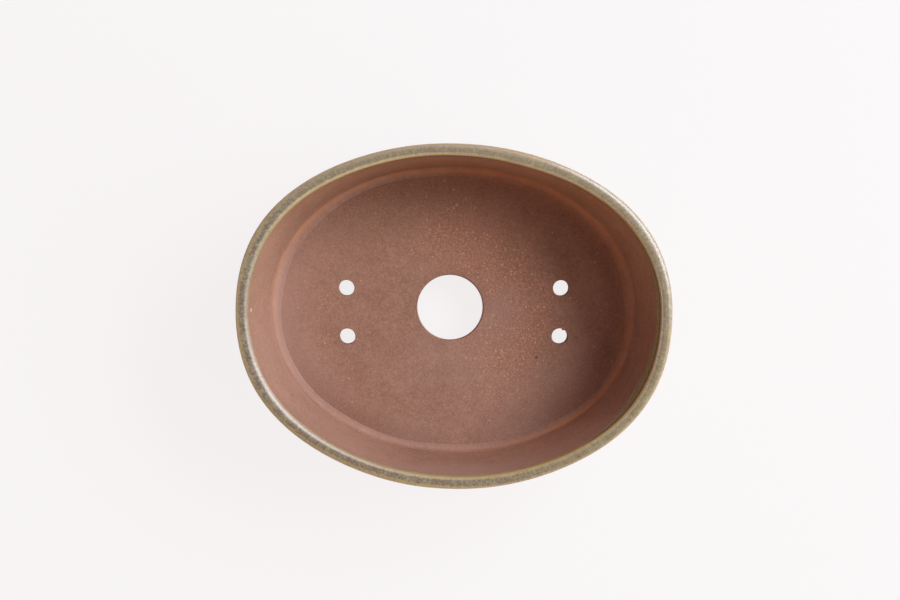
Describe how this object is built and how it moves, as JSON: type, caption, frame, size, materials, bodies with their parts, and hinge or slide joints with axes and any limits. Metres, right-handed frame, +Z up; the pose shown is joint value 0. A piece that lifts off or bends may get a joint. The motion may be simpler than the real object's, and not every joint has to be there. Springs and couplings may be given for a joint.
{
  "type": "oval bonsai pot",
  "caption": "Shallow oval bonsai pot of red-brown stoneware with a rounded olive-brown glazed rim, a central drain hole, small tie-wire holes and low pad feet.",
  "frame": {"origin": "middle of the pot on the plane that its feet stand on", "axes": "+X along the oval's long way, +Y across it, +Z up out of the mouth"},
  "size_m": [0.1593, 0.1262, 0.0525],
  "materials": {
    "clay": "matte unglazed red-brown stoneware with fine orange specks",
    "glaze": "glossy mottled olive and grey-brown glaze that breaks to honey on the edges"
  },
  "bodies": {
    "root": {"wall_ring": "clay", "floor_slab": "clay", "seam_coil": "clay", "foot_front_left": "clay", "foot_front_right": "clay", "foot_rear_left": "clay", "foot_rear_right": "clay", "glaze_coat": "glaze"}
  },
  "joints": []
}
